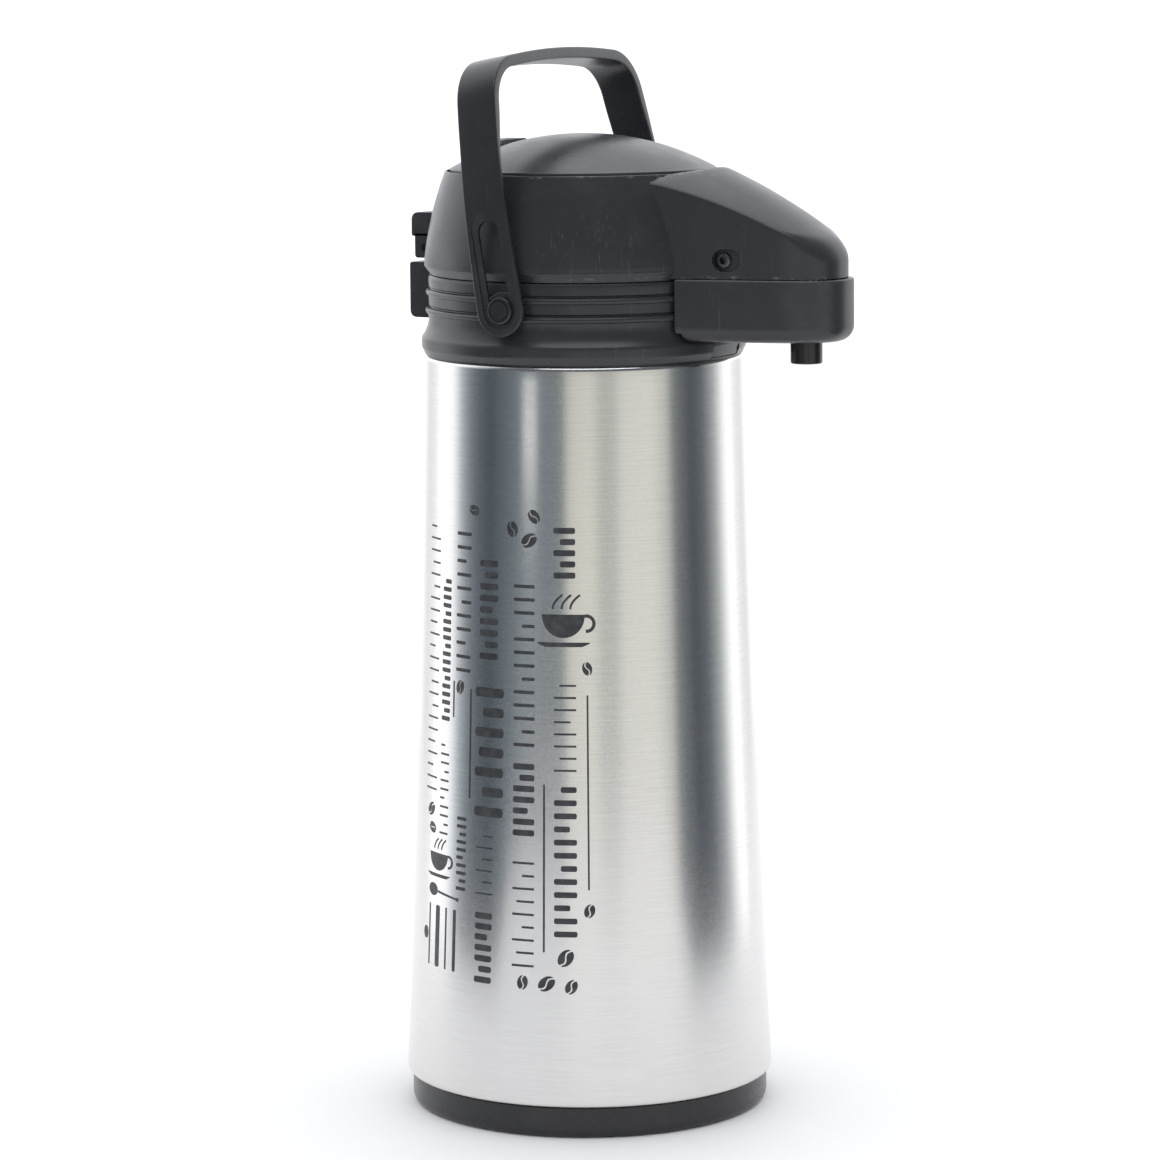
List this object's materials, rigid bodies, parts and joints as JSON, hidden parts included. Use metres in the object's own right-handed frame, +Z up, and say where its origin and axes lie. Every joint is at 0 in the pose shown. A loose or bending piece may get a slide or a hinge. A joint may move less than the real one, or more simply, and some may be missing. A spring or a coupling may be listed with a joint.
{
  "type": "thermal coffee airpot",
  "caption": "Vacuum flask dispenser for hot drinks: steel body, hinged pump lid with spout, push pad and fold-back carry handle.",
  "frame": {"origin": "centre of the base on the surface it stands on, on the body's axis", "axes": "+Z up along the body's axis; the spout points to -Y and the lid hinge is at +Y; the handle pivots lie along X"},
  "size_m": [0.143, 0.1842, 0.4101],
  "materials": {
    "steel_shell": "vertical satin brushing",
    "base_plastic": "moulded, slightly glossy black",
    "charcoal_plastic": "fine-grained satin charcoal moulding",
    "handle_plastic": "satin charcoal moulding, lightly scuffed",
    "pad_plastic": "satin charcoal moulding",
    "nozzle_plastic": "glossy black",
    "pin_plastic": "smooth dark plastic",
    "flask_glass": "silvered vacuum glass",
    "natural_plastic": "natural translucent moulding",
    "grey_rubber": "soft grey rubber",
    "bellows_rubber": "thin moulded rubber",
    "zinc_screw": "zinc-plated",
    "spring_steel": "drawn spring wire",
    "spacer_felt": "pressed fibre pad"
  },
  "bodies": {
    "flask_body": {"base_ring": "base_plastic", "bottom_cap": "base_plastic", "base_screws": "zinc_screw", "bottom_cushion": "grey_rubber", "steel_shell": "steel_shell", "flask_outer_glass": "flask_glass", "flask_inner_glass": "flask_glass", "spacer_pads": "spacer_felt", "neck_gasket": "grey_rubber", "collar": "charcoal_plastic", "hinge_bracket": "charcoal_plastic", "bracket_screws": "zinc_screw", "hinge_pin": "zinc_screw", "riser_holder": "natural_plastic", "riser_tube": "natural_plastic", "release_spring": "spring_steel"},
    "button": {"release_button": "charcoal_plastic"},
    "handle_pins": {"handle_pivot_pins": "pin_plastic"},
    "handle": {"carry_handle": "handle_plastic"},
    "lid": {"lid_shell": "charcoal_plastic", "lid_floor": "charcoal_plastic", "lid_screws": "zinc_screw", "stopper_ring": "charcoal_plastic", "lid_gasket": "grey_rubber", "riser_seal": "grey_rubber", "outlet_pipe": "natural_plastic", "spout_lower_cover": "charcoal_plastic", "spout_screws": "zinc_screw", "nozzle": "nozzle_plastic", "pivot_screws": "zinc_screw", "bellows_base": "natural_plastic", "air_valve": "grey_rubber", "bellows": "bellows_rubber", "bellows_spring": "spring_steel"},
    "pad": {"push_pad": "pad_plastic", "pressure_plate": "natural_plastic"},
    "lock": {"pump_lock_slide": "pad_plastic"}
  },
  "joints": [
    {"name": "lid_hinge", "type": "hinge", "parent": "flask_body", "child": "lid", "pos_m": [0, 0.0639, 0.3326], "axis": [-1, 0, 0], "range_deg": [0, 18]},
    {"name": "pad_press", "type": "hinge", "parent": "lid", "child": "pad", "pos_m": [0, -0.0722, 0.332], "axis": [-1, 0, 0], "range_deg": [0, 9], "stiffness_Nm_per_rad": 12, "springref_deg": -1.72, "deforming": ["bellows", "bellows_spring"]},
    {"name": "pump_lock", "type": "slide", "parent": "pad", "child": "lock", "axis": [1, 0, 0], "range_m": [0, 0.006]},
    {"name": "handle_swing", "type": "hinge", "parent": "flask_body", "child": "handle_pins", "pos_m": [0, 0, 0.314], "axis": [-1, 0, 0], "range_deg": [-9.7, 80]},
    {"name": "handle_slide", "type": "slide", "parent": "handle_pins", "child": "handle", "axis": [0, 0.1685, 0.9857], "range_m": [-0.02, 0]},
    {"name": "release_press", "type": "slide", "parent": "flask_body", "child": "button", "axis": [0, 1, 0], "range_m": [0, 0.0025], "stiffness_N_per_m": 600, "springref_m": -0.001, "deforming": ["release_spring"]}
  ]
}
